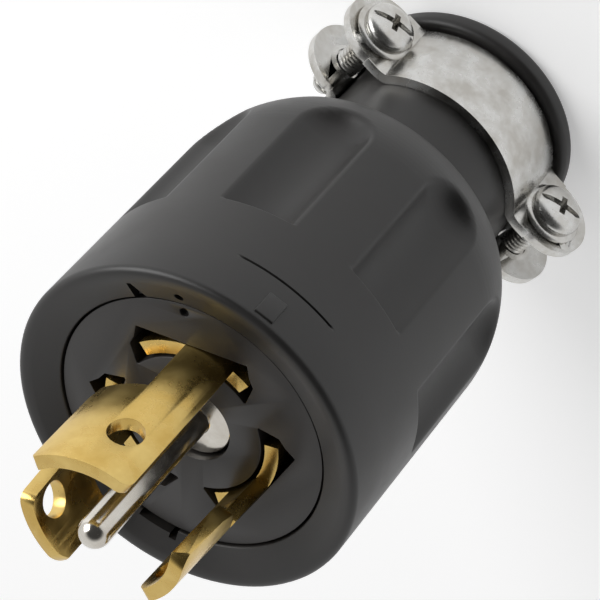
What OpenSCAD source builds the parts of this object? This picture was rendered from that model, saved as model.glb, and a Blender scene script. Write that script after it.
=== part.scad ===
// Locking power plug, three poles and earth, with rubber cover and cord clamp.
// The plug stands on its rear end with the blades up. The origin is the middle of
// the rear end, and the first blade is on the +Y side.

/* [Cover] */
// outside diameter of the rubber body
body_d = 50.6; // [44:0.1:58]
// how far the rim stands ahead of the insert's face
rim_proud = 2.2; // [0.8:0.1:3]
// how far the ring stands ahead of the insert where they meet
lip_proud = 0.3; // [0.1:0.1:0.8]
// radius of the rim's front corner
rim_round = 1.2; // [0.6:0.1:2]
// distance from the face to the start of the rear corner
body_end = 36; // [32:0.1:44]
// distance from the face to the rear shoulder
shoulder_at = 46.6; // [44:0.1:52]
// radius of the rounded rear corner
corner_r = 20.8; // [12:0.1:24]
// radius at the foot of the neck
neck_root = 2.5; // [1:0.1:3]
// diameter of the neck under the clamp
neck_d = 30.4; // [26:0.1:34]
// diameter of the rear flange
flange_d = 36.4; // [33:0.1:40]
// thickness of the rear flange
flange_t = 3.3; // [2.5:0.1:5]
// radius on the rear flange's edges
flange_round = 1.2; // [0.4:0.1:1.5]
// distance from the face to the rear end
cover_len = 79.7; // [74:0.1:90]
// diameter of the cord entry
cord_d = 20; // [14:0.1:22]
// diameter of the wiring room behind the terminals
room_d = 34; // [30:0.1:36]

/* [Finger recesses] */
// number of finger recesses around the body
recess_n = 8; // [6:1:10]
// angle of the first recess
recess_turn = -2; // [-22:0.5:22]
// radius of the groove's round floor
recess_r = 7; // [6:0.1:9]
// width of a recess at the body's surface
recess_w = 10.4; // [8:0.1:11]
// distance from the face to the recess's front wall
recess_front = 15.8; // [12:0.1:18]
// distance from the face to the middle of the rounded rear end
recess_back = 36.6; // [32:0.1:38]

/* [Marks on the cover] */
// width of the raised index bar
bar_w = 2.8; // [2:0.1:4]
// length of the raised index bar behind the rim's corner
bar_len = 4.2; // [3:0.1:8]
// height of the raised index bar
bar_h = 0.3; // [0.2:0.05:0.5]
// angle of the index bar
bar_at = 64.6; // [40:0.1:80]
// width and depth of the engraved turning line
line_w = 0.5; // [0.3:0.05:0.8]
// distance from the face to the turning line
line_at = 6; // [5:0.1:12]
// angle where the turning line starts
line_from = 48; // [40:0.5:55]
// angle the turning line covers
line_sweep = 33; // [20:0.5:40]
// angle of the assembly dots on the cover and the insert
dot_at = 93; // [80:0.5:100]
// diameter of the assembly dots
dot_d = 1.3; // [0.8:0.1:2]

/* [Insert] */
// diameter of the insert's face
face_d = 38.8; // [36:0.1:41]
// visible gap between the insert and the cover's lip
lip_gap = 0.3; // [0.1:0.05:0.5]
// depth of the cover's lip
lip_depth = 4; // [3:0.1:5]
// diameter of the insert's retaining collar
collar_d = 41.6; // [40.4:0.1:43]
// thickness of the insert's retaining collar
collar_t = 3.8; // [3:0.1:4.5]
// thickness of the face insert
insert_t = 9; // [8.2:0.1:12]
// diameter of the terminal block
block_d = 38.4; // [36:0.1:40]
// distance from the face to the terminal block's rear face
block_end = 20; // [18:0.1:24]
// clearance round the terminal block and the blades' stems
block_gap = 0.1; // [0.05:0.05:0.3]
// inner radius of a blade slot
slot_r = 10.4; // [9.8:0.1:10.8]
// distance from the axis to a slot's straight outer side
slot_flat = 13.1; // [13:0.05:14]

/* [Blades] */
// outer radius of the bent blades
blade_r = 13; // [12:0.1:14]
// thickness of the blade's brass
blade_t = 2; // [1.4:0.1:2.4]
// how far the first, wide blade stands out of the face
blade_len = 25.5; // [22:0.1:28]
// how far the two narrow blades stand out of the face
short_len = 22.4; // [22:0.1:26]
// height of the neck below the hooked head
hook_at = 9.2; // [7:0.1:12]
// angle covered by the neck
neck_sweep = 32; // [26:0.5:40]
// angle covered by the wide blade's hooked head
head_sweep = 67; // [60:0.5:70]
// angle covered by a narrow blade's hooked head
short_sweep = 57; // [50:0.5:66]
// how far a narrow blade's tip leans in towards the axis
short_lean = 1; // [0:0.1:1.4]
// angle from the slot's middle back to the blade's straight side
blade_back = 28.5; // [26:0.5:32]
// radius of a narrow blade's far corner
short_round = 2.6; // [0.5:0.1:3.2]
// radius of the wide blade's far corner
head_round = 0.8; // [0.3:0.1:2]
// diameter of the hole in the head
blade_hole = 4.9; // [4:0.1:5.5]
// distance from the face to the hole
hole_at = 18.1; // [16:0.1:20]
// angle from the slot's middle back to the wide blade's hole
hole_turn = 6; // [2:0.5:14]
// angle from the slot's middle back to a narrow blade's hole
short_hole_turn = 11; // [2:0.5:14]
// width of the tab under the terminal screw
tab_w = 11; // [9:0.1:12]
// radius to the tab's outer end
tab_end = 18.6; // [18:0.1:19]

/* [Earth pin] */
// diameter of the earth pin
pin_d = 4.4; // [4:0.1:5]
// how far the earth pin stands out of the face
pin_len = 25.8; // [22:0.1:29]
// diameter of the pin's flange
pin_flange_d = 10.8; // [8:0.1:11]
// depth of the flange's front below the face
pin_flange_at = 1; // [0.5:0.1:2]
// thickness of the pin's flange
pin_flange_t = 2; // [1.5:0.1:3]
// diameter of the pin's stem inside the block
pin_stem_d = 5.6; // [5:0.1:6.5]
// diameter of the recess round the flange
pin_well_d = 11.6; // [11:0.1:13]

/* [Terminals] */
// diameter of a terminal screw's thread
term_d = 3.5; // [3:0.1:4]
// radius to a terminal screw
term_at = 15.4; // [15:0.1:16]
// diameter of a terminal screw's head
term_head_d = 6.8; // [6:0.1:7.4]
// height of a terminal screw's head
term_head_h = 2.6; // [2:0.1:3]
// length of a terminal screw's thread
term_len = 9; // [8:0.5:11]
// side of the square pressure plate
plate_w = 6.8; // [6:0.1:7]
// thickness of the pressure plate
plate_t = 1; // [0.8:0.1:1.5]
// angle of the earth strip
earth_at = 30; // [20:1:40]
// radius to the earth screw
earth_r = 12.5; // [11:0.1:13.5]
// width of the earth strip
strip_w = 9; // [8.5:0.1:10]
// thickness of the earth strip
strip_t = 1.5; // [1:0.1:2]
// height of the ribs between the terminals
rib_h = 6; // [4:0.1:6]
// diameter of a block screw's thread
tie_d = 3; // [2.5:0.1:3.5]
// length of a block screw's thread
tie_len = 18; // [15:0.5:20]
// diameter of a block screw's head
tie_head_d = 5.8; // [5:0.1:6.4]
// height of a block screw's head
tie_head_h = 2.2; // [1.8:0.1:2.6]
// radius to a block screw
tie_at = 15; // [14:0.1:15.2]

/* [Cord clamp] */
// thickness of the clamp's sheet
sheet_t = 1.5; // [1:0.1:2]
// width of the clamp's strap
strap_w = 13; // [11:0.1:13.6]
// distance from the rear end to the strap's middle
strap_back = 10.4; // [9.8:0.1:11]
// width of the clamp's round-ended ears
ear_w = 12.4; // [11:0.1:13.6]
// direction of the clamp screws' heads
clamp_turn = 52; // [40:0.5:60]
// distance from the plug's axis to a clamp screw
clamp_at = 17.8; // [17.8:0.1:20]
// height of the upper saddle's ears over the plug's axis
ear_up = 8; // [6:0.1:10]
// height of the lower saddle's ears over the plug's axis
ear_low = -1; // [-3:0.1:2]
// diameter of a clamp screw's thread
clamp_d = 4; // [4:0.5:5]
// length of a clamp screw's thread
clamp_len = 16; // [14:1:20]
// diameter of a clamp screw's head
clamp_head_d = 8; // [7:0.1:9]
// height of a clamp screw's head
clamp_head_h = 3.1; // [2.5:0.1:3.5]
// clearance round a screw where it passes through
pass_gap = 0.25; // [0.1:0.05:0.5]

/* [Hidden] */
$fn = 96;
eps = 0.01;
thread_gap = 0.05;
body_r = body_d / 2;
neck_r = neck_d / 2;
hold_r = neck_r + thread_gap;
face_r = face_d / 2;
lip_r = face_r + lip_gap;
collar_r = collar_d / 2;
block_r = block_d / 2;
strap_at = cover_len - strap_back;
bore_front = shoulder_at + 2.4;
blade_in = blade_r - blade_t;
keep_in = 0.7 * blade_in;
keep_out = 2.3 * blade_r;
// floor of the lip and of the groove that holds the collar
groove_end = lip_depth + collar_t;
half_w = recess_w / 2;
recess_mid = sqrt(body_r * body_r - half_w * half_w)
    + sqrt(recess_r * recess_r - half_w * half_w);
base_back = 40.5;
base_sweep = 76.5;
stem_half = 27;
term_head_at = block_end + blade_t + plate_t;
earth_head_at = block_end + strip_t + plate_t;
blade_turn = [90, 210, -30];
tie_turn = [150, 270];

// pieces are drawn with the face at z = 0 and lifted so that the rear end is there
module stand() translate([0, 0, cover_len]) children();

// part of a ring, from one angle over a sweep, between two heights
module sector(r_in, r_out, from, sweep, z0, z1)
    rotate([0, 0, from]) rotate_extrude(angle = sweep)
        translate([r_in, z0]) square([r_out - r_in, z1 - z0]);

// a sharp corner seen along the radius, cut to a round one
module round_corner(turn, z, r)
    rotate([0, 0, turn]) translate([blade_in - 2, 0, z - r]) rotate([90, 0, 90])
        linear_extrude(blade_t + 3) difference() {
            translate([-0.02, 0]) square([r + 0.02, r + 0.5]);
            translate([r, 0]) circle(r);
        }

// ---------- rubber cover ----------
module cover_outline() {
    difference() {
        union() {
            // the ring is slightly dished: it rises from the insert to the rim
            polygon([[0, lip_proud], [lip_r, lip_proud], [body_r - 1.4 * rim_round, rim_proud],
                [body_r - rim_round, rim_proud], [body_r, rim_proud - rim_round], [body_r, -body_end],
                [body_r - corner_r, -body_end], [body_r - corner_r, -shoulder_at],
                [0, -shoulder_at]]);
            translate([body_r - rim_round, rim_proud - rim_round]) circle(rim_round);
            intersection() {
                translate([body_r - corner_r, -body_end]) circle(corner_r);
                translate([body_r - corner_r, -shoulder_at])
                    square([corner_r + 1, shoulder_at - body_end]);
            }
        }
    }
    polygon([[0, -shoulder_at + 1], [neck_r + neck_root, -shoulder_at + 1],
        [neck_r + neck_root, -shoulder_at], [neck_r, -shoulder_at - neck_root],
        [neck_r, -cover_len + flange_t], [0, -cover_len + flange_t]]);
    translate([0, -cover_len])
        square([flange_d / 2 - flange_round, flange_t]);
    translate([0, -cover_len + flange_round])
        square([flange_d / 2, flange_t - 2 * flange_round]);
    for (z = [flange_round, flange_t - flange_round])
        translate([flange_d / 2 - flange_round, -cover_len + z]) circle(flange_round);
}

module recess_cut() {
    translate([recess_mid, 0, -recess_back])
        cylinder(r = recess_r, h = recess_back - recess_front);
    translate([recess_mid, 0, -recess_back]) sphere(recess_r);
}

module cover_inside() {
    translate([0, 0, -lip_depth]) cylinder(r = lip_r, h = lip_depth + 2);
    translate([0, 0, -groove_end - block_gap])
        cylinder(r = collar_r + block_gap, h = collar_t + block_gap);
    translate([0, 0, -block_end - rib_h - 1])
        cylinder(r = block_r + block_gap, h = block_end + rib_h);
    translate([0, 0, -42]) cylinder(r = room_d / 2, h = 20);
    translate([0, 0, -bore_front]) cylinder(r1 = cord_d / 2, r2 = room_d / 2, h = 7);
    translate([0, 0, -cover_len - 1])
        cylinder(r = cord_d / 2, h = cover_len + 2 - bore_front);
}

module rubber_cover() color([0.09, 0.085, 0.08]) stand() {
    difference() {
        union() {
            rotate_extrude() cover_outline();
            // raised index bar behind the rim's corner
            intersection() {
                translate([0, 0, rim_proud - rim_round - bar_len])
                    cylinder(r = body_r + bar_h, h = bar_len);
                rotate([0, 0, bar_at])
                    translate([body_r - 2, -bar_w / 2, -30]) cube([4, bar_w, 60]);
            }
        }
        for (i = [0:recess_n - 1])
            rotate([0, 0, recess_turn + i * 360 / recess_n]) recess_cut();
        cover_inside();
        // engraved turning line
        sector(body_r - line_w / 2, body_r + 1, line_from, line_sweep,
            -line_at - line_w / 2, -line_at + line_w / 2);
        // assembly marks on the rim: a dot, a pointed notch and a wide key opening
        rotate([0, 0, dot_at]) translate([21.3, 0, 0])
            cylinder(d = dot_d, h = 2);
        rotate([0, 0, 111]) translate([0, 0, -0.6]) linear_extrude(4)
            polygon([[lip_r - 0.5, -1.1], [22.7, -0.3], [22.7, 0.3], [lip_r - 0.5, 1.1]]);
        sector(lip_r - 0.5, 20.4, -112, 16, -2.5, rim_proud + 1);
        sector(lip_r - 0.6, 21, -98, 3, -2.7, rim_proud + 1);
    }
}

// ---------- insert and block ----------
module blade_slot() linear_extrude(insert_t + 2) difference() {
    polygon([[slot_flat, -8.2], [slot_flat, 8.2], [11.2, 8.5], [9.8, 9.1],
        [6.9, 8.1], [6.9, -8.1], [9.8, -9.1], [11.2, -8.5]]);
    circle(slot_r);
}

module face_insert() color([0.20, 0.195, 0.19]) stand() {
    difference() {
        union() {
            translate([0, 0, -lip_depth - 1]) cylinder(r = face_r, h = lip_depth + 1);
            translate([0, 0, -groove_end]) cylinder(r = collar_r, h = collar_t);
            translate([0, 0, -insert_t]) cylinder(r = block_r, h = insert_t - groove_end + 1);
        }
        for (a = blade_turn) rotate([0, 0, a]) translate([0, 0, -insert_t - 1]) blade_slot();
        translate([0, 0, -pin_flange_at - pin_flange_t])
            cylinder(d = pin_well_d, h = pin_flange_at + pin_flange_t + 1);
        translate([0, 0, -insert_t - 1])
            cylinder(d = pin_stem_d + 2 * block_gap, h = insert_t);
        rotate([0, 0, dot_at]) translate([18.2, 0, -0.8]) cylinder(d = dot_d, h = 2);
        for (a = tie_turn) rotate([0, 0, a]) translate([tie_at, 0, -insert_t - 1])
            cylinder(d = tie_d + 2 * thread_gap, h = 5.5);
    }
}

module terminal_block() color([0.16, 0.12, 0.10]) stand() {
    difference() {
        union() {
            translate([0, 0, -block_end]) cylinder(r = block_r, h = block_end - insert_t);
            // ribs between the terminals, and round seats for the block screws
            intersection() {
                translate([0, 0, -block_end - rib_h])
                    cylinder(r = block_r, h = rib_h + 1);
                for (a = [[60, 13.3], [0, 13.3], [150, 9], [270, 9]])
                    rotate([0, 0, a[0]]) translate([a[1], -0.9, -block_end - rib_h])
                        cube([21 - a[1], 1.8, rib_h + 1]);
            }
            for (a = tie_turn) rotate([0, 0, a])
                translate([tie_at, 0, -block_end - rib_h + 2]) cylinder(d = 7.6, h = rib_h);
        }
        for (a = blade_turn) rotate([0, 0, a]) {
            translate([0, 0, 0])
                sector(blade_in - block_gap, blade_r + block_gap,
                    -stem_half - 0.6, 2 * stem_half + 1.2, -block_end - 1, -insert_t + 1);
            translate([term_at, 0, -block_end - 1])
                cylinder(d = term_d + 2 * pass_gap, h = 9);
        }
        rotate([0, 0, earth_at]) translate([earth_r, 0, -block_end - 1])
            cylinder(d = term_d + 2 * pass_gap, h = 9.5);
        translate([0, 0, -block_end - 1])
            cylinder(d = pin_stem_d + 2 * block_gap, h = block_end);
        for (a = tie_turn) rotate([0, 0, a]) {
            translate([tie_at, 0, -block_end - rib_h])
                cylinder(d = tie_d + 2 * pass_gap, h = block_end);
            // the rib is cut back over the screw's head
            translate([tie_at, 0, -block_end - rib_h - 1]) cylinder(d = 7.6, h = 3);
        }
    }
}

// ---------- blades ----------
// a flat-sided wedge that keeps part of the blade's ring between two heights
module keep(from, sweep, z0, z1) translate([0, 0, z0]) linear_extrude(z1 - z0)
    rotate(from) polygon([[keep_in, 0], [keep_out, 0],
        [1.5 * keep_out * cos(sweep / 2), 1.5 * keep_out * sin(sweep / 2)],
        [keep_out * cos(sweep), keep_out * sin(sweep)],
        [keep_in * cos(sweep), keep_in * sin(sweep)]]);

// the blade's wall as a full ring, leaning in over the face
module blade_ring(len, lean) rotate_extrude()
    polygon([[blade_in, -block_end - blade_t], [blade_r, -block_end - blade_t], [blade_r, 0],
        [blade_r - lean, len], [blade_in - lean, len], [blade_in, 0]]);

module blade(len, sweep, hole, lean, far) color([0.78, 0.62, 0.30]) {
    difference() {
        union() {
            intersection() {
                blade_ring(len, lean);
                union() {
                    keep(-stem_half, 2 * stem_half, -block_end - blade_t - 1, -insert_t + 0.5);
                    keep(-base_back, base_sweep, -insert_t, 0);
                    keep(-blade_back, neck_sweep, -0.5, hook_at + 0.5);
                    keep(-blade_back, sweep, hook_at, len + 1);
                }
            }
            // tab under the terminal screw
            intersection() {
                translate([blade_in + 0.5, -tab_w / 2, -block_end - blade_t])
                    cube([tab_end, tab_w, blade_t]);
                translate([0, 0, -block_end - blade_t - 1])
                    cylinder(r = tab_end, h = blade_t + 2);
            }
        }
        // the head's rear edge and far side lean a little
        rotate([0, 0, sweep - blade_back - 20.5]) translate([blade_in - 2, 0, 0])
            rotate([90, 0, 90]) linear_extrude(blade_t + 3)
                polygon([[-3.2, 8], [-3.2, hook_at - 0.05], [3, hook_at + 1.5],
                    [3.7, hook_at + 3.9], [4.3, len + 1], [7, len + 1], [7, 8]]);
        // its far corner is round
        rotate([0, 0, sweep - blade_back - 20.5]) translate([blade_in - 2, 0, 0])
            rotate([90, 0, 90]) linear_extrude(blade_t + 4) difference() {
                translate([4.3 - far, len - far]) square([far + 1, far + 1]);
                translate([4.3 - far, len - far + 0.05]) circle(far);
            }
        round_corner(-blade_back, len, 1.4);
        rotate([0, 0, -hole]) translate([0, 0, hole_at]) rotate([0, 90, 0])
            cylinder(d = blade_hole, h = 1.5 * blade_r);
        translate([term_at, 0, -block_end - blade_t - 1])
            cylinder(d = term_d + 2 * thread_gap, h = blade_t + 2);
    }
}

module short_blade()
    blade(short_len, short_sweep, short_hole_turn, short_lean, short_round);
module blade_1() stand() rotate([0, 0, blade_turn[0]])
    blade(blade_len, head_sweep, hole_turn, 0, head_round);
module blade_2() stand() rotate([0, 0, blade_turn[1]]) short_blade();
module blade_3() stand() rotate([0, 0, blade_turn[2]]) short_blade();

// ---------- earth pin and strip ----------
module earth_pin() color([0.80, 0.79, 0.77]) stand() {
    translate([0, 0, -pin_flange_at - eps])
        cylinder(d = pin_d, h = pin_len + pin_flange_at - pin_d / 2 + eps);
    translate([0, 0, pin_len - pin_d / 2]) sphere(d = pin_d);
    translate([0, 0, -pin_flange_at - pin_flange_t]) cylinder(d = pin_flange_d, h = pin_flange_t);
    translate([0, 0, -block_end])
        cylinder(d = pin_stem_d, h = block_end - pin_flange_at - 1);
    // riveted tail that holds the strip
    translate([0, 0, -block_end - strip_t - 0.5]) cylinder(d = 3.6, h = strip_t + 1);
    translate([0, 0, -block_end - strip_t - 1]) cylinder(d1 = 4.4, d2 = 5.4, h = 1);
}

module earth_strip() color([0.74, 0.60, 0.32]) stand() rotate([0, 0, earth_at])
    translate([0, 0, -block_end - strip_t]) difference() {
        union() {
            cylinder(d = strip_w, h = strip_t);
            translate([0, -strip_w / 2, 0]) cube([earth_r + strip_w / 2, strip_w, strip_t]);
        }
        translate([0, 0, -1]) cylinder(d = 3.6, h = strip_t + 2);
        translate([earth_r, 0, -1])
            cylinder(d = term_d + 2 * thread_gap, h = strip_t + 2);
    }

// ---------- screws ----------
// pan head with a crossed recess; the head's seat is at z = 0 and the thread goes up
module pan_screw(d, len, head_d, head_h) color([0.78, 0.78, 0.76]) {
    rise = head_h * 0.6;
    dome = (head_d * head_d / 4 + rise * rise) / (2 * rise);
    cylinder(d = d, h = len - 0.5);
    translate([0, 0, len - 0.5]) cylinder(d1 = d, d2 = d - 1, h = 0.5);
    difference() {
        intersection() {
            translate([0, 0, -head_h]) cylinder(d = head_d, h = head_h);
            translate([0, 0, dome - head_h]) sphere(dome);
        }
        for (a = [45, 135]) rotate([0, 0, a])
            translate([-head_d * 0.27, -head_d * 0.06, -head_h - 1])
                cube([head_d * 0.54, head_d * 0.12, head_h * 0.5 + 1]);
    }
}

module terminal_screw(a) stand() rotate([0, 0, a]) translate([term_at, 0, -term_head_at])
    pan_screw(term_d, term_len, term_head_d, term_head_h);
module terminal_screw_1() terminal_screw(blade_turn[0]);
module terminal_screw_2() terminal_screw(blade_turn[1]);
module terminal_screw_3() terminal_screw(blade_turn[2]);
module earth_screw() stand() rotate([0, 0, earth_at]) translate([earth_r, 0, -earth_head_at])
    pan_screw(term_d, term_len, term_head_d, term_head_h);

module pressure_plate(a, r, z) color([0.76, 0.76, 0.74]) stand() rotate([0, 0, a])
    translate([r, 0, -z]) difference() {
        translate([-plate_w / 2, -plate_w / 2, 0]) cube([plate_w, plate_w, plate_t]);
        translate([0, 0, -1]) cylinder(d = term_d + 2 * pass_gap, h = plate_t + 2);
    }
module pressure_plate_1() pressure_plate(blade_turn[0], term_at, term_head_at);
module pressure_plate_2() pressure_plate(blade_turn[1], term_at, term_head_at);
module pressure_plate_3() pressure_plate(blade_turn[2], term_at, term_head_at);
module earth_pressure_plate() pressure_plate(earth_at, earth_r, earth_head_at);

module block_screw(a) stand() rotate([0, 0, a])
    translate([tie_at, 0, -block_end - rib_h + 2]) pan_screw(tie_d, tie_len, tie_head_d, tie_head_h);
module block_screw_1() block_screw(tie_turn[0]);
module block_screw_2() block_screw(tie_turn[1]);

// ---------- cord clamp ----------
// drawn with its straps along Z and its screws along Y
module clamp_place() stand() rotate([0, 0, clamp_turn - 90]) translate([0, 0, -strap_at])
    children();

module ears(low) difference() {
    for (s = [-1, 1]) intersection() {
        union() {
            translate([s * clamp_at, low + sheet_t, 0]) rotate([90, 0, 0])
                cylinder(d = ear_w, h = sheet_t);
            translate([s > 0 ? 0 : -clamp_at, low, -ear_w / 2])
                cube([clamp_at, sheet_t, ear_w]);
        }
        translate([s > 0 ? 1 : -60, low - 1, -20]) cube([59, sheet_t + 2, 40]);
    }
    translate([0, 0, -20]) cylinder(r = hold_r, h = 40);
}

module strap_ring() difference() {
    translate([0, 0, -strap_w / 2]) cylinder(r = hold_r + sheet_t, h = strap_w);
    translate([0, 0, -20]) cylinder(r = hold_r, h = 40);
}

module clamp_holes(d) for (s = [-1, 1])
    translate([s * clamp_at, 30, 0]) rotate([90, 0, 0]) cylinder(d = d, h = 60);

module upper_saddle() color([0.80, 0.80, 0.78]) clamp_place() difference() {
    union() {
        intersection() {
            strap_ring();
            translate([-30, ear_up, -20]) cube([60, 40, 40]);
        }
        ears(ear_up);
    }
    clamp_holes(clamp_d + 2 * pass_gap);
}

module lower_saddle() color([0.78, 0.78, 0.76]) clamp_place() difference() {
    union() {
        intersection() {
            strap_ring();
            translate([-30, -40, -20]) cube([60, 40 + ear_low + sheet_t, 40]);
        }
        ears(ear_low);
        // drawn collars that carry the screw thread
        for (s = [-1, 1]) translate([s * clamp_at, ear_low + 0.5, 0]) rotate([90, 0, 0])
            cylinder(d = clamp_d + 2.4, h = 2.3);
    }
    clamp_holes(clamp_d + 2 * thread_gap);
    translate([0, 0, -20]) cylinder(r = hold_r, h = 40);
}

module clamp_screw(s) clamp_place()
    translate([s * clamp_at, ear_up + sheet_t, 0]) rotate([90, 0, 0])
        pan_screw(clamp_d, clamp_len, clamp_head_d, clamp_head_h);
module clamp_screw_left() clamp_screw(-1);
module clamp_screw_right() clamp_screw(1);

rubber_cover();
face_insert();
terminal_block();
blade_1();
blade_2();
blade_3();
earth_pin();
earth_strip();
terminal_screw_1();
terminal_screw_2();
terminal_screw_3();
earth_screw();
pressure_plate_1();
pressure_plate_2();
pressure_plate_3();
earth_pressure_plate();
block_screw_1();
block_screw_2();
upper_saddle();
lower_saddle();
clamp_screw_left();
clamp_screw_right();
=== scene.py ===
import bpy, bmesh, math
from mathutils import Matrix, Vector


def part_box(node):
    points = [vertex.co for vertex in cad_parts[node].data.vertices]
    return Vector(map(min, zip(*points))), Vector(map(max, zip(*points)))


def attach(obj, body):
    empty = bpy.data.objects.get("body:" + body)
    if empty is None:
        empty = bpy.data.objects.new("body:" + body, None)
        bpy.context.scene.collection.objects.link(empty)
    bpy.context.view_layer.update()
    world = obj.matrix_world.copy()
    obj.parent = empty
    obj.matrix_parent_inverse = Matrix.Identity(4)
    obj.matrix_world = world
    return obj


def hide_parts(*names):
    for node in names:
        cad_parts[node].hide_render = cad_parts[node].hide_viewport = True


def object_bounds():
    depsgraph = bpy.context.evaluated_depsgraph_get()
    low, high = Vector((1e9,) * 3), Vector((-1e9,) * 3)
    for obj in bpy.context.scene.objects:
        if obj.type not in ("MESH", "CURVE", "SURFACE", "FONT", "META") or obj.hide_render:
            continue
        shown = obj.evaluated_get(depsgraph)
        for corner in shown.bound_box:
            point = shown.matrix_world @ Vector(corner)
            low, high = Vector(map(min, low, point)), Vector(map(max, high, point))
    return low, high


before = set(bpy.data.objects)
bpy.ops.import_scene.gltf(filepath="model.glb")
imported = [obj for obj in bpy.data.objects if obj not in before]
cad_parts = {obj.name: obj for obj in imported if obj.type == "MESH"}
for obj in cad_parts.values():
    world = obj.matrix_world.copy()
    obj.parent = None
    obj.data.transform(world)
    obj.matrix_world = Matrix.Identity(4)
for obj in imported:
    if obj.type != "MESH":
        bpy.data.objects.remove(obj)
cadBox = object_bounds()
body = "root"
print("frame loaded:", len(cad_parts), "nodes")

# sizes below are in millimetres, and the cover's heights are counted from the insert's face
mm = 0.001
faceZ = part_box("face_insert")[1].z


def linearColour(hexText):
    values = [int(hexText[i:i + 2], 16) / 255 for i in (1, 3, 5)]
    return [v / 12.92 if v <= 0.04045 else ((v + 0.055) / 1.055) ** 2.4 for v in values] + [1]


def newMaterial(name):
    material = bpy.data.materials.new(name)
    material.use_nodes = True
    material.node_tree.nodes.clear()
    return material, material.node_tree


def addNode(tree, kind, settings=None, sockets=None, links=None):
    node = tree.nodes.new(kind)
    for key, value in (settings or {}).items():
        setattr(node, key, value)
    for key, value in (sockets or {}).items():
        node.inputs[key].default_value = value
    for key, source in (links or {}).items():
        tree.links.new(source, node.inputs[key])
    return node


def addObject(name, data):
    thing = bpy.data.objects.new(name, data)
    bpy.context.scene.collection.objects.link(thing)
    return thing


def smoothMesh(mesh, smoothAngle):
    mesh.shade_smooth()
    mesh.set_sharp_from_angle(angle=math.radians(smoothAngle))


def makePiece(bm, name, material, smoothAngle=35):
    mesh = bpy.data.meshes.new(name)
    bm.to_mesh(mesh)
    bm.free()
    piece = addObject(name, mesh)
    smoothMesh(mesh, smoothAngle)
    mesh.materials.clear()
    mesh.materials.append(material)
    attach(piece, body)
    return piece


def makeTool(bm, name):
    mesh = bpy.data.meshes.new(name)
    bmesh.ops.recalc_face_normals(bm, faces=bm.faces)
    bm.to_mesh(mesh)
    bm.free()
    return addObject(name, mesh)


def applyModifiers(piece, smoothAngle):
    depsgraph = bpy.context.evaluated_depsgraph_get()
    mesh = bpy.data.meshes.new_from_object(piece.evaluated_get(depsgraph))
    old = piece.data
    piece.modifiers.clear()
    piece.data = mesh
    bpy.data.meshes.remove(old)
    smoothMesh(mesh, smoothAngle)


def addBoolean(piece, operation, other):
    modifier = piece.modifiers.new(operation.lower(), "BOOLEAN")
    modifier.operation, modifier.solver, modifier.object = operation, "EXACT", other


def cutAway(piece, cutters, smoothAngle):
    for cutter in cutters:
        addBoolean(piece, "DIFFERENCE", cutter)
    applyModifiers(piece, smoothAngle)
    for cutter in cutters:
        bpy.data.objects.remove(cutter)


def vertsOf(geom):
    return [g for g in geom if isinstance(g, bmesh.types.BMVert)]


def drawLine(bm, places, closed=False):
    points = [bm.verts.new([v * mm for v in place]) for place in places]
    ends = points[1:] + points[:1] if closed else points[1:]
    for pair in zip(points, ends):
        bm.edges.new(pair)
    return points


def drawFace(bm, places):
    return bm.faces.new([bm.verts.new([v * mm for v in place]) for place in places])


def addBlock(bm, size):
    bmesh.ops.create_cube(bm, size=1)
    bmesh.ops.scale(bm, verts=bm.verts, vec=[v * mm for v in size])


def addRod(bm, diameter, length, segments, place):
    bmesh.ops.create_cone(bm, cap_ends=True, segments=segments, radius1=diameter / 2 * mm,
                          radius2=diameter / 2 * mm, depth=length * mm, matrix=place)


def turnBy(bm, degrees):
    turn = Matrix.Rotation(math.radians(degrees), 3, "Z")
    bmesh.ops.rotate(bm, verts=bm.verts, cent=(0, 0, 0), matrix=turn)


def roundCorner(bm, corner, soft):
    bmesh.ops.bevel(bm, geom=[corner], offset=soft * mm, offset_type="OFFSET", affect="VERTICES",
                    segments=5, profile=0.5, material=-1)


def roundEdges(bm, edges, soft, segments):
    bmesh.ops.bevel(bm, geom=edges, offset=soft * mm, offset_type="OFFSET", affect="EDGES",
                    segments=segments, profile=0.5, material=-1, clamp_overlap=True)


def edgesOver(bm, degrees):
    return [e for e in bm.edges
            if len(e.link_faces) == 2 and e.calc_face_angle(0) > math.radians(degrees)]


def revolve(bm, steps, weld):
    bmesh.ops.spin(bm, geom=bm.verts[:] + bm.edges[:], cent=(0, 0, 0), axis=(0, 0, 1),
                   angle=math.radians(360), steps=steps, use_merge=True)
    bmesh.ops.remove_doubles(bm, verts=bm.verts, dist=weld * mm)


# a long lens, looking from above the blades back along the body
camera = {"lens": 180, "sensor": 36, "near": 0.01, "far": 20}
cameraData = bpy.data.cameras.new("camera")
cameraData.lens, cameraData.sensor_width = camera["lens"], camera["sensor"]
cameraData.clip_start, cameraData.clip_end = camera["near"], camera["far"]
cameraObject = addObject("camera", cameraData)
bpy.context.scene.camera = cameraObject
cameraObject.matrix_world = Matrix([
    [0.8779682, -0.3147532, 0.3606968, 0.1479945],
    [0.0231407, 0.7804857, 0.6247452, 0.2563536],
    [-0.4781593, -0.5401597, 0.6925253, 0.334139],
    [0.0, 0.0, 0.0, 1.0],
])

# Every surface has broad patches over a ground colour, and a fine grain. Each look gives both
# colours, the roughness between and on the patches, and the size of each pattern.
surface = {"patchStart": 0.35, "patchRough": 0.6, "grainDetail": 3, "dullFrom": 0.3, "dullTo": 0.7}
mouldedLook = {"patchSize": 14, "patchDetail": 5, "patchFull": 0.75, "grainStrength": 0.5,
               "shader": {"IOR": 1.52}}
metalLook = {"patchDetail": 4, "patchFull": 0.68, "grainStrength": 0.4, "shader": {"Metallic": 1}}


def addNoise(tree, place, size, sockets):
    noise = addNode(tree, "ShaderNodeTexNoise", sockets={"Scale": 1 / (size * mm), **sockets},
                    links={"Vector": place.outputs["Object"]})
    return noise.outputs["Fac"]


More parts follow.
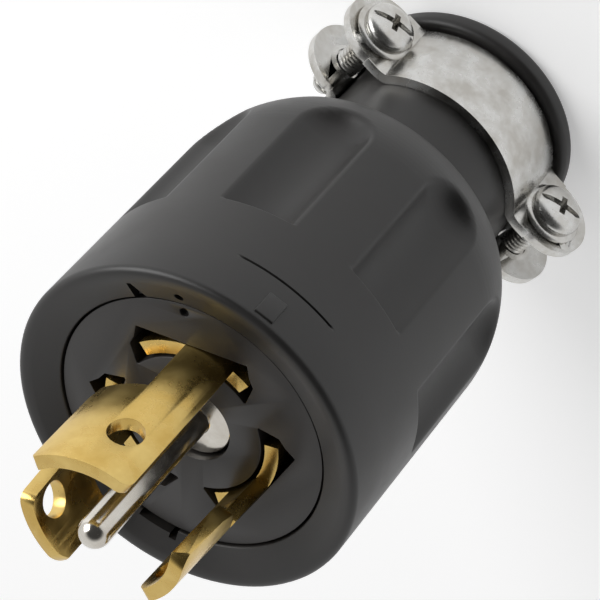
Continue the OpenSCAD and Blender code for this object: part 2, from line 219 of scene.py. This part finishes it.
def addRamp(tree, source, stops):
    ramp = addNode(tree, "ShaderNodeValToRGB", links={"Fac": source})
    for element, (place, colour) in zip(ramp.color_ramp.elements, stops):
        element.position = place
        element.color = linearColour(colour)
    return ramp.outputs["Color"]


def makeSurface(name, look):
    material, tree = newMaterial(name)
    place = addNode(tree, "ShaderNodeTexCoord")
    patches = addNoise(tree, place, look["patchSize"],
                       {"Detail": look["patchDetail"], "Roughness": surface["patchRough"]})
    grain = addNoise(tree, place, look["grainSize"], {"Detail": surface["grainDetail"]})
    colour = addRamp(tree, patches, [(surface["patchStart"], look["ground"]),
                                     (look["patchFull"], look["patch"])])
    rough = addNode(tree, "ShaderNodeMapRange", links={"Value": patches}, sockets={
        "From Min": surface["dullFrom"], "From Max": surface["dullTo"],
        "To Min": look["rough"][0], "To Max": look["rough"][1]})
    bump = addNode(tree, "ShaderNodeBump", links={"Height": grain}, sockets={
        "Strength": look["grainStrength"], "Distance": look["grainHeight"] * mm})
    shader = addNode(tree, "ShaderNodeBsdfPrincipled", sockets=look["shader"], links={
        "Base Color": colour, "Roughness": rough.outputs["Result"], "Normal": bump.outputs["Normal"]})
    addNode(tree, "ShaderNodeOutputMaterial", links={"Surface": shader.outputs["BSDF"]})
    return material


# near-black satin, a little greyer where dust and handling have dulled it, with the mould's grain
rubberLook = {**mouldedLook, "ground": "#1b1a19", "patch": "#2a2827", "rough": (0.37, 0.49),
              "grainSize": 0.35, "grainHeight": 0.012}
mouldedRubber = makeSurface("moulded_black_rubber", rubberLook)

# a hard plastic, one shade lighter and warmer than the cover, with slightly sharper highlights
insertLook = {**mouldedLook, "ground": "#242221", "patch": "#302d2b", "rough": (0.31, 0.43),
              "grainSize": 0.4, "grainHeight": 0.01}
mouldedInsert = makeSurface("moulded_urea_insert", insertLook)

# dark brown and dull, hardly seen in the depth of the slots
blockLook = {**mouldedLook, "ground": "#3a2a22", "patch": "#4a362c", "rough": (0.4, 0.52),
             "grainSize": 0.4, "grainHeight": 0.01}
mouldedBlock = makeSurface("moulded_phenolic_block", blockLook)

# pale yellow metal, deeper in colour between the patches, with soft highlights
brassLook = {**metalLook, "ground": "#c4a45c", "patch": "#d9bd76", "rough": (0.2025, 0.351),
             "patchSize": 5, "grainSize": 0.25, "grainHeight": 0.008}
stampedBrass = makeSurface("stamped_rolled_brass", brassLook)

# warm white metal, smooth enough to mirror the blades beside it
nickelLook = {**metalLook, "ground": "#c4beb4", "patch": "#d8d4cc", "rough": (0.12, 0.208),
              "patchSize": 4, "grainSize": 0.2, "grainHeight": 0.004}
platedNickel = makeSurface("nickel_plated_turned_brass", nickelLook)

# cool light grey, mottled by the plating
zincLook = {**metalLook, "ground": "#bdbab4", "patch": "#dcdcda", "rough": (0.18, 0.312),
            "patchSize": 3.5, "grainSize": 0.3, "grainHeight": 0.01}
zincPlate = makeSurface("zinc_plated_pressed_steel", zincLook)
print("materials made")

# the rubber cover: turned from one outline, then pressed in along its side, marked and cut
cover = {
    "bodyRadius": 25.3, "rimProud": 2.2, "rimSlope": 0.05, "rimInset": 1.7, "rimSoft": (0.7, 1.0),
    "lipRadius": 19.7, "lipProud": 0.3, "lipSoft": 0.25,
    "bodyEnd": -36, "cornerRadius": 20.8, "cornerSteps": 12, "shoulder": -46.6, "shoulderSoft": 0.7,
    "neckRadius": 15.2, "neckRoot": 2.5, "rootSoft": 1.2, "length": -79.7,
    "flangeRadius": 18.2, "flangeThick": 3.3, "flangeFoot": 0.5, "flangeSoft": 1.1,
    "boreRadius": 10, "boreSoft": 0.4, "boreFront": -49,
    "roomRadius": 17, "roomBack": -42, "roomFront": -27,
    "seatRadius": 19.3, "grooveRadius": 20.9, "grooveBack": -7.9, "grooveFront": -4,
    "steps": 448, "smoothAngle": 50,
    "recess": {"count": 8, "turn": -2, "radius": 7, "width": 10.4, "front": -15.8, "back": -36.6,
               "soft": 0.7, "wall": 0.3},
    "skin": {"radius": 21.2, "front": 0.9, "back": -46.5},
    "line": {"height": -6, "half": 0.15, "deep": 0.3, "start": (47.5, 48.6), "end": (81.8, 80.6)},
    "bar": {"size": (1.2, 2.8, 4.0), "soft": 0.14, "sunk": 0.35, "height": -1.15, "turn": 64.6},
    "dot": {"diameter": 1.3, "deep": 2, "radius": 21.3, "height": 0.6, "turn": 93},
    "notch": {"outline": ((19.2, -1.1), (22.7, -0.3), (22.7, 0.3), (19.2, 1.1)),
              "floor": -0.6, "tall": 4, "turn": 111},
    "keys": [{"inner": 19.2, "outer": 20.4, "start": -112, "sweep": 16, "floor": -2.5},
             {"inner": 19.1, "outer": 21.0, "start": -98, "sweep": 3, "floor": -2.7}],
    "keyTop": 4, "keySteps": 16,
}


def softLow(a, b, soft):
    share = min(1, max(0, 0.5 + 0.5 * (b - a) / soft))
    return b + (a - b) * share - soft * share * (1 - share)


def smoothStep(low, high, value):
    t = min(1, max(0, (value - low) / (high - low)))
    return t * t * (3 - 2 * t)


def recessFloor(turn, z):
    # a recess is the space of a round rod laid along the body, with a ball at its rear end
    recess, outside = cover["recess"], 60
    half = recess["width"] / 2
    middle = math.sqrt(cover["bodyRadius"] ** 2 - half ** 2) + math.sqrt(recess["radius"] ** 2 - half ** 2)
    step = 360 / recess["count"]
    off = math.radians((turn - recess["turn"] + step / 2) % step - step / 2)
    behind = min(0, z - recess["back"])
    inside = recess["radius"] ** 2 - behind ** 2 - (middle * math.sin(off)) ** 2
    return middle * math.cos(off) - math.sqrt(inside) if inside > 0 else outside


def coverOutline():
    # each row is a radius, a height and the size of the rounding there
    c = cover
    cornerMiddle = c["bodyRadius"] - c["cornerRadius"]
    crest = cornerMiddle + math.sqrt(c["cornerRadius"] ** 2 - (c["shoulder"] - c["bodyEnd"]) ** 2)
    flangeFront = c["length"] + c["flangeThick"]
    outline = [
        (c["lipRadius"], c["lipProud"], c["lipSoft"]),
        (c["bodyRadius"] - c["rimInset"], c["rimProud"] - c["rimSlope"], c["rimSoft"][0]),
        (c["bodyRadius"], c["rimProud"], c["rimSoft"][1]),
        (c["bodyRadius"], c["bodyEnd"], 0)]
    for i in range(1, c["cornerSteps"]):
        angle = math.asin((c["bodyEnd"] - c["shoulder"]) / c["cornerRadius"]) * i / c["cornerSteps"]
        outline.append((cornerMiddle + c["cornerRadius"] * math.cos(angle),
                        c["bodyEnd"] - c["cornerRadius"] * math.sin(angle), 0))
    return outline + [
        (crest, c["shoulder"], c["shoulderSoft"]),
        (c["neckRadius"] + c["neckRoot"], c["shoulder"], c["rootSoft"]),
        (c["neckRadius"], c["shoulder"] - c["neckRoot"], c["rootSoft"]),
        (c["neckRadius"], flangeFront, c["flangeFoot"]),
        (c["flangeRadius"], flangeFront, c["flangeSoft"]),
        (c["flangeRadius"], c["length"], c["flangeSoft"]),
        (c["boreRadius"], c["length"], c["boreSoft"]), (c["boreRadius"], c["boreFront"], 0),
        (c["roomRadius"], c["roomBack"], 0), (c["roomRadius"], c["roomFront"], 0),
        (c["seatRadius"], c["roomFront"], 0), (c["seatRadius"], c["grooveBack"], 0),
        (c["grooveRadius"], c["grooveBack"], 0), (c["grooveRadius"], c["grooveFront"], 0),
        (c["lipRadius"], c["grooveFront"], 0)]


def addRows(bm):
    # more rows of vertices where the recesses start and end, and at the turning line
    recess, line = cover["recess"], cover["line"]
    nearWall = (0.9, 0.5, 0.35, 0.25, 0.15, 0.05, -0.05, -0.15, -0.25, -0.35, -0.5, -0.9)
    nearLine = (-0.3, -0.2, -0.1, 0.1, 0.2, 0.3)
    rows = [recess["front"] + d for d in nearWall] + [line["height"] + d for d in nearLine]
    rows += [-9, -12, -14, -19, -23, -27, -31, -34] + [recess["back"] + 1.2 - 0.4 * i for i in range(22)]
    outermost = (cover["skin"]["radius"] - 0.1) * mm
    for z in rows:
        outer = [v for v in bm.verts if v.co.x > outermost]
        outer += [e for e in bm.edges if e.verts[0].co.x > outermost]
        bmesh.ops.bisect_plane(bm, geom=outer, plane_co=(0, 0, z * mm), plane_no=(0, 0, 1), dist=1e-6)


def pressIn(bm):
    recess, skin, line = cover["recess"], cover["skin"], cover["line"]
    for vert in bm.verts:
        radius, z = math.hypot(vert.co.x, vert.co.y) / mm, vert.co.z / mm
        if radius < skin["radius"] or not skin["back"] <= z <= skin["front"]:
            continue
        turn = math.degrees(math.atan2(vert.co.y, vert.co.x)) % 360
        front = smoothStep(recess["front"] + recess["wall"], recess["front"] - recess["wall"], z)
        fresh = radius + (softLow(radius, recessFloor(turn, z), recess["soft"]) - radius) * front
        if abs(z - line["height"]) < line["half"]:
            fresh -= line["deep"] * smoothStep(*line["start"], turn) * smoothStep(*line["end"], turn)
        vert.co.x *= fresh / radius
        vert.co.y *= fresh / radius


def addIndexBar(bm):
    shape = cover["bar"]
    bar = bmesh.new()
    addBlock(bar, shape["size"])
    roundEdges(bar, bar.edges[:], shape["soft"], 3)
    place = ((cover["bodyRadius"] - shape["sunk"]) * mm, 0, shape["height"] * mm)
    bmesh.ops.translate(bar, verts=bar.verts, vec=place)
    turnBy(bar, shape["turn"])
    barMesh = bpy.data.meshes.new("bar")
    bar.to_mesh(barMesh)
    bar.free()
    bm.from_mesh(barMesh)
    bpy.data.meshes.remove(barMesh)


def ringCutters():
    shape = cover["dot"]
    dot = bmesh.new()
    addRod(dot, shape["diameter"], shape["deep"], 24, Matrix())
    bmesh.ops.translate(dot, verts=dot.verts, vec=(shape["radius"] * mm, 0, shape["height"] * mm))
    shape = cover["notch"]
    notch = bmesh.new()
    face = drawFace(notch, [(x, y, shape["floor"]) for x, y in shape["outline"]])
    lid = bmesh.ops.extrude_face_region(notch, geom=[face])["geom"]
    bmesh.ops.translate(notch, verts=vertsOf(lid), vec=(0, 0, shape["tall"] * mm))
    cutters = []
    for mark, name in ((dot, "dot"), (notch, "notch")):
        turnBy(mark, cover[name]["turn"])
        bmesh.ops.translate(mark, verts=mark.verts, vec=(0, 0, faceZ))
        cutters.append(makeTool(mark, name))
    for shape in cover["keys"]:
        key = bmesh.new()
        inner, outer, low, top = shape["inner"], shape["outer"], shape["floor"], cover["keyTop"]
        section = drawFace(key, [(inner, 0, low), (outer, 0, low), (outer, 0, top), (inner, 0, top)])
        turnBy(key, shape["start"])
        bmesh.ops.spin(key, geom=[section], cent=(0, 0, 0), axis=(0, 0, 1),
                       angle=math.radians(shape["sweep"]), steps=cover["keySteps"], use_merge=False)
        bmesh.ops.translate(key, verts=key.verts, vec=(0, 0, faceZ))
        cutters.append(makeTool(key, "key"))
    return cutters


def makeCover():
    bm = bmesh.new()
    outline = coverOutline()
    points = drawLine(bm, [(radius, 0, z) for radius, z, soft in outline], closed=True)
    for point, (radius, z, soft) in zip(points, outline):
        if soft:
            roundCorner(bm, point, soft)
    addRows(bm)
    revolve(bm, cover["steps"], 0.002)
    bmesh.ops.recalc_face_normals(bm, faces=bm.faces)
    pressIn(bm)
    addIndexBar(bm)
    bmesh.ops.translate(bm, verts=bm.verts, vec=(0, 0, faceZ))
    piece = makePiece(bm, "rubber_cover_dressed", mouldedRubber, cover["smoothAngle"])
    # the ring's marks: an assembly dot, a pointed notch and a key opening with a deeper end
    cutAway(piece, ringCutters(), cover["smoothAngle"])
    return piece


coverPiece = makeCover()
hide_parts("rubber_cover")
print("cover made:", len(coverPiece.data.polygons), "faces")

# pieces that keep their solid's shape, with every edge rounded a little so that it catches the light
softEdges = {"insert": 0.25, "blade": 0.22, "pin": 0.2, "weld": 0.01, "flatAngle": 0.6, "edgeAngle": 30}


def roundedCopy(node, name, material, soft, segments=2):
    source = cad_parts[node]
    bm = bmesh.new()
    bm.from_mesh(source.data)
    bmesh.ops.remove_doubles(bm, verts=bm.verts, dist=softEdges["weld"] * mm)
    flat = math.radians(softEdges["flatAngle"])
    bmesh.ops.dissolve_limit(bm, angle_limit=flat, verts=bm.verts, edges=bm.edges)
    roundEdges(bm, edgesOver(bm, softEdges["edgeAngle"]), soft, segments)
    piece = makePiece(bm, name, material)
    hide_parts(node)


roundedCopy("face_insert", "face_insert_dressed", mouldedInsert, softEdges["insert"])
for i in (1, 2, 3):
    roundedCopy(f"blade_{i}", f"blade_{i}_dressed", stampedBrass, softEdges["blade"], 3)
roundedCopy("earth_pin", "earth_pin_dressed", platedNickel, softEdges["pin"])
print("insert, blades and pin made")

# the cord clamp, drawn with its straps round Z and its screws along Y, and then put in place
clamp = {
    "turn": -38, "height": 10.4, "sheet": 1.5, "wide": 13, "hold": 15.25, "screwAt": 17.8,
    "earWide": 12.4, "earUp": 8, "earLow": -1, "bend": 1.6, "hole": 4.5,
    "rim": 0.75, "dish": 0.28, "edge": 0.42,
    "steps": 40, "earSpare": 7, "ringSpare": 0.9, "ringWide": 14, "toolTall": 60,
    "earFrom": 15.5, "earArea": 20, "sharpAngle": 50, "smoothAngle": 40,
}
clampTurn = Matrix.Rotation(math.radians(clamp["turn"]), 4, "Z")
clampPlace = Matrix.Translation((0, 0, clamp["height"] * mm)) @ clampTurn


def clampBlock(name, size):
    bm = bmesh.new()
    addBlock(bm, size)
    return makeTool(bm, name)


def clampRods(name, diameter, tall, segments):
    bm = bmesh.new()
    for side in (-1, 1):
        along = Matrix.Rotation(math.pi / 2, 4, "X")
        place = Matrix.Translation((side * clamp["screwAt"] * mm, 0, 0)) @ along
        addRod(bm, diameter, tall, segments, place)
    return makeTool(bm, name)


def trimSaddle(piece):
    # the ears are rounded off and drilled; the tools differ in height, so none of their ends meet
    c = clamp
    tall = c["toolTall"]
    ringRadius = c["hold"] + c["sheet"] / 2 + c["ringSpare"]
    roundEars = clampRods("round ears", c["earWide"], tall, 64)
    middleBar = clampBlock("middle bar", (2 * c["screwAt"], tall + 1, c["earWide"]))
    ringBar = clampBlock("ring bar", (2 * ringRadius, tall + 2, c["ringWide"]))
    drill = clampRods("drill", c["hole"], tall + 2, 32)
    for other in (middleBar, ringBar):
        addBoolean(roundEars, "UNION", other)
    addBoolean(piece, "INTERSECT", roundEars)
    addBoolean(piece, "DIFFERENCE", drill)
    applyModifiers(piece, c["smoothAngle"])
    for tool in (roundEars, middleBar, ringBar, drill):
        bpy.data.objects.remove(tool)


def finishSaddle(piece):
    c = clamp
    bm = bmesh.new()
    bm.from_mesh(piece.data)
    bmesh.ops.remove_doubles(bm, verts=bm.verts, dist=0.002 * mm)
    bmesh.ops.dissolve_limit(bm, angle_limit=math.radians(1), verts=bm.verts, edges=bm.edges)
    bmesh.ops.recalc_face_normals(bm, faces=bm.faces)
    # each ear is dished, which leaves a rim round it
    ears = [f for f in bm.faces if abs(f.normal.y) > 0.99 and f.calc_area() > c["earArea"] * mm * mm
            and abs(f.calc_center_median().x) > c["earFrom"] * mm]
    for face in ears:
        face.normal_update()
        bmesh.ops.inset_region(bm, faces=[face], thickness=c["rim"] * mm, use_even_offset=True,
                               use_boundary=True)
        bmesh.ops.translate(bm, verts=face.verts, vec=(0, -c["dish"] * mm, 0))
    roundEdges(bm, edgesOver(bm, c["sharpAngle"]), c["edge"], 4)
    bmesh.ops.transform(bm, matrix=clampPlace, verts=bm.verts)
    bm.to_mesh(piece.data)
    bm.free()
    smoothMesh(piece.data, c["smoothAngle"])


def makeSaddle(name, node, earY, upper):
    c = clamp
    middle = c["hold"] + c["sheet"] / 2
    y = earY + c["sheet"] / 2
    start = math.asin(y / middle)
    sweep = (math.pi if upper else -math.pi) - 2 * start
    angles = [start + sweep * i / c["steps"] for i in range(c["steps"] + 1)]
    earEnd = c["screwAt"] + c["earSpare"]
    path = [(earEnd, y)] + [(middle * math.cos(a), middle * math.sin(a)) for a in angles] + [(-earEnd, y)]
    bm = bmesh.new()
    points = drawLine(bm, [(px, py, -c["wide"] / 2) for px, py in path])
    for corner in (points[1], points[-2]):
        roundCorner(bm, corner, c["bend"])
    swept = bmesh.ops.extrude_edge_only(bm, edges=bm.edges[:])["geom"]
    bmesh.ops.translate(bm, verts=vertsOf(swept), vec=(0, 0, c["wide"] * mm))
    bmesh.ops.remove_doubles(bm, verts=bm.verts, dist=0.001 * mm)
    bmesh.ops.recalc_face_normals(bm, faces=bm.faces)
    piece = makePiece(bm, name, zincPlate, c["smoothAngle"])
    thick = piece.modifiers.new("sheet", "SOLIDIFY")
    thick.thickness, thick.offset, thick.use_even_offset = c["sheet"] * mm, 0, True
    trimSaddle(piece)
    finishSaddle(piece)
    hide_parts(node)


makeSaddle("upper_saddle_dressed", "upper_saddle", clamp["earUp"], True)
makeSaddle("lower_saddle_dressed", "lower_saddle", clamp["earLow"], False)
print("saddles made")

# a clamp screw; each row of its drive is a cut's direction, length, width, depth and floor length
clampScrew = {
    "thread": 4, "pitch": 0.7, "deep": 0.38, "crestIn": 0.03, "crestHalf": 0.06, "rootHalf": 0.05,
    "long": 16, "tipIn": 0.55, "tipLong": 0.6, "underHead": 0.02, "axis": 0.02,
    "collar": 9.4, "collarTall": 0.7, "collarSoft": (0.2, 0.25), "collarGap": (0.1, 0.3),
    "head": 7.9, "headTall": 3.1, "headSide": 0.9, "headFull": 0.8, "headSteps": 12,
    "drive": [(20, 4.6, 1.15, 1.9, 0.35), (110, 4.6, 1.15, 1.9, 0.35), (20, 12, 1.1, 0.8, 1)],
    "driveTaper": 0.7, "steps": 64, "smoothAngle": 40,
}


def screwOutline():
    # half of the outline, from the thread's end to the middle of the head; the head's seat is at 0
    s = clampScrew
    r, head, collar, under = s["thread"] / 2, s["head"] / 2, s["collar"] / 2, -s["collarTall"]
    root, crest, half = r - s["deep"], r - s["crestIn"], s["pitch"] / 2
    foot, lift = s["collarSoft"]
    gap, drop = s["collarGap"]
    outline = [(s["axis"], s["long"]), (r - s["tipIn"], s["long"])]
    for i in range(int((s["long"] - s["tipLong"]) / s["pitch"]), 0, -1):
        z = i * s["pitch"]
        outline += [(root, z + s["rootHalf"]), (crest, z - half + s["crestHalf"]),
                    (crest, z - half - s["crestHalf"])]
    outline += [(root, s["underHead"]), (collar - foot, 0), (collar, -foot), (collar, under + lift),
                (collar - lift, under), (head - gap, under - gap), (head, under - drop)]
    low = s["collarTall"] + s["headSide"]
    for i in range(s["headSteps"] + 1):
        a = math.pi / 2 * i / s["headSteps"]
        outline.append((max(s["axis"], head * math.cos(a) ** s["headFull"]),
                        -low - (s["headTall"] - low) * math.sin(a)))
    return outline


def makeScrew(name, node, side):
    s = clampScrew
    bm = bmesh.new()
    drawLine(bm, [(x, 0, -z) for x, z in screwOutline()])
    revolve(bm, s["steps"], 0.005)
    bmesh.ops.holes_fill(bm, edges=[e for e in bm.edges if len(e.link_faces) == 1], sides=80)
    bmesh.ops.recalc_face_normals(bm, faces=bm.faces)
    piece = makePiece(bm, name, zincPlate, s["smoothAngle"])
    # a cross recess with a slot right across it
    cutters = []
    for turn, long, wide, deep, floorLong in s["drive"]:
        arm = bmesh.new()
        addBlock(arm, (long, wide, 2 * deep))
        lower = [v for v in arm.verts if v.co.z < 0]
        bmesh.ops.scale(arm, verts=lower, vec=(floorLong, s["driveTaper"], 1))
        turnBy(arm, turn)
        bmesh.ops.translate(arm, verts=arm.verts, vec=(0, 0, s["headTall"] * mm))
        cutters.append(makeTool(arm, "arm"))
    cutAway(piece, cutters, s["smoothAngle"])
    seatY = (clamp["earUp"] + clamp["sheet"] - clamp["dish"]) * mm
    seat = Matrix.Translation((side * clamp["screwAt"] * mm, seatY, 0))
    piece.data.transform(clampPlace @ seat @ Matrix.Rotation(-math.pi / 2, 4, "X"))
    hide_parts(node)


makeScrew("clamp_screw_left_dressed", "clamp_screw_left", -1)
makeScrew("clamp_screw_right_dressed", "clamp_screw_right", 1)
print("clamp screws made")

# the pieces inside keep their solids, and are steel unless they are named here
insideLook = {"terminal_block": mouldedBlock, "earth_strip": stampedBrass}
for name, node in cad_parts.items():
    if not node.hide_render:
        node.data.materials.clear()
        node.data.materials.append(insideLook.get(name, zincPlate))
print("inner pieces given their materials")

# a white paper floor, which glows faintly to the eye and in reflections, so that it stays white
floor = {"halfSize": 3, "drop": 0.0002, "white": 0.86, "glow": 0.35}
floorMesh = bpy.data.meshes.new("floor")
bm = bmesh.new()
bmesh.ops.create_grid(bm, x_segments=1, y_segments=1, size=floor["halfSize"])
bm.to_mesh(floorMesh)
bm.free()
floorPiece = addObject("floor", floorMesh)
floorPiece.location.z = cadBox[0].z - floor["drop"]
floorMaterial, tree = newMaterial("white_paper")
diffuse = addNode(tree, "ShaderNodeBsdfDiffuse", sockets={"Color": [floor["white"]] * 3 + [1]})
glow = addNode(tree, "ShaderNodeEmission", sockets={"Color": (1, 1, 1, 1), "Strength": floor["glow"]})
both = addNode(tree, "ShaderNodeAddShader", links={0: diffuse.outputs[0], 1: glow.outputs[0]})
path = addNode(tree, "ShaderNodeLightPath")
seen = addNode(tree, "ShaderNodeMath", {"operation": "MAXIMUM"},
               links={0: path.outputs["Is Camera Ray"], 1: path.outputs["Is Glossy Ray"]})
seenThrough = addNode(tree, "ShaderNodeMath", {"operation": "MAXIMUM"},
                      links={0: seen.outputs[0], 1: path.outputs["Is Transmission Ray"]})
pick = addNode(tree, "ShaderNodeMixShader",
               links={0: seenThrough.outputs[0], 1: diffuse.outputs[0], 2: both.outputs[0]})
addNode(tree, "ShaderNodeOutputMaterial", links={"Surface": pick.outputs[0]})
floorMesh.materials.append(floorMaterial)
print("floor made")

# a bright room with one dark wall, on the camera's side, for the metals to mirror
room = {"darkToward": (0.36, 0.62, 0.69), "edgeFrom": 0.25, "edgeTo": 0.75, "bright": 0.85, "dark": 0.06}
world = bpy.data.worlds.new("studio")
bpy.context.scene.world = world
world.use_nodes = True
tree = world.node_tree
tree.nodes.clear()
path = addNode(tree, "ShaderNodeLightPath")
way = addNode(tree, "ShaderNodeTexCoord")
facing = addNode(tree, "ShaderNodeVectorMath", {"operation": "DOT_PRODUCT"},
                 sockets={1: room["darkToward"]}, links={0: way.outputs["Generated"]})
wall = addNode(tree, "ShaderNodeMapRange", {"interpolation_type": "SMOOTHSTEP"},
               sockets={"From Min": room["edgeFrom"], "From Max": room["edgeTo"],
                        "To Min": room["bright"], "To Max": room["dark"]},
               links={"Value": facing.outputs["Value"]})
strength = addNode(tree, "ShaderNodeMath", {"operation": "MAXIMUM"},
                   links={0: path.outputs["Is Camera Ray"], 1: wall.outputs["Result"]})
background = addNode(tree, "ShaderNodeBackground", sockets={"Color": (1, 1, 1, 1)},
                     links={"Strength": strength.outputs["Value"]})
addNode(tree, "ShaderNodeOutputWorld", links={"Surface": background.outputs[0]})

# softboxes, in metres, placed by their direction from the plug: right, up and back to the camera
lamps = {
    "key": {"side": (0.75, 0.75, 0.35), "far": 0.6, "size": 0.35, "watts": 7},
    "fill": {"side": (-0.8, 0.35, 0.5), "far": 0.7, "size": 0.45, "watts": 3},
    "top": {"side": (0.1, 1.0, -0.2), "far": 0.6, "size": 0.4, "watts": 4},
}
middle = (cadBox[0] + cadBox[1]) / 2
turned = cameraObject.matrix_world.to_3x3()
for name, look in lamps.items():
    light = bpy.data.lights.new(name, "AREA")
    light.energy, light.size = look["watts"], look["size"]
    lamp = addObject(name, light)
    toward = (turned @ Vector(look["side"])).normalized()
    lamp.location = middle + toward * look["far"]
    lamp.rotation_euler = toward.to_track_quat("Z", "Y").to_euler()
bpy.context.scene.view_settings.view_transform = "Standard"
print("room and lamps made")
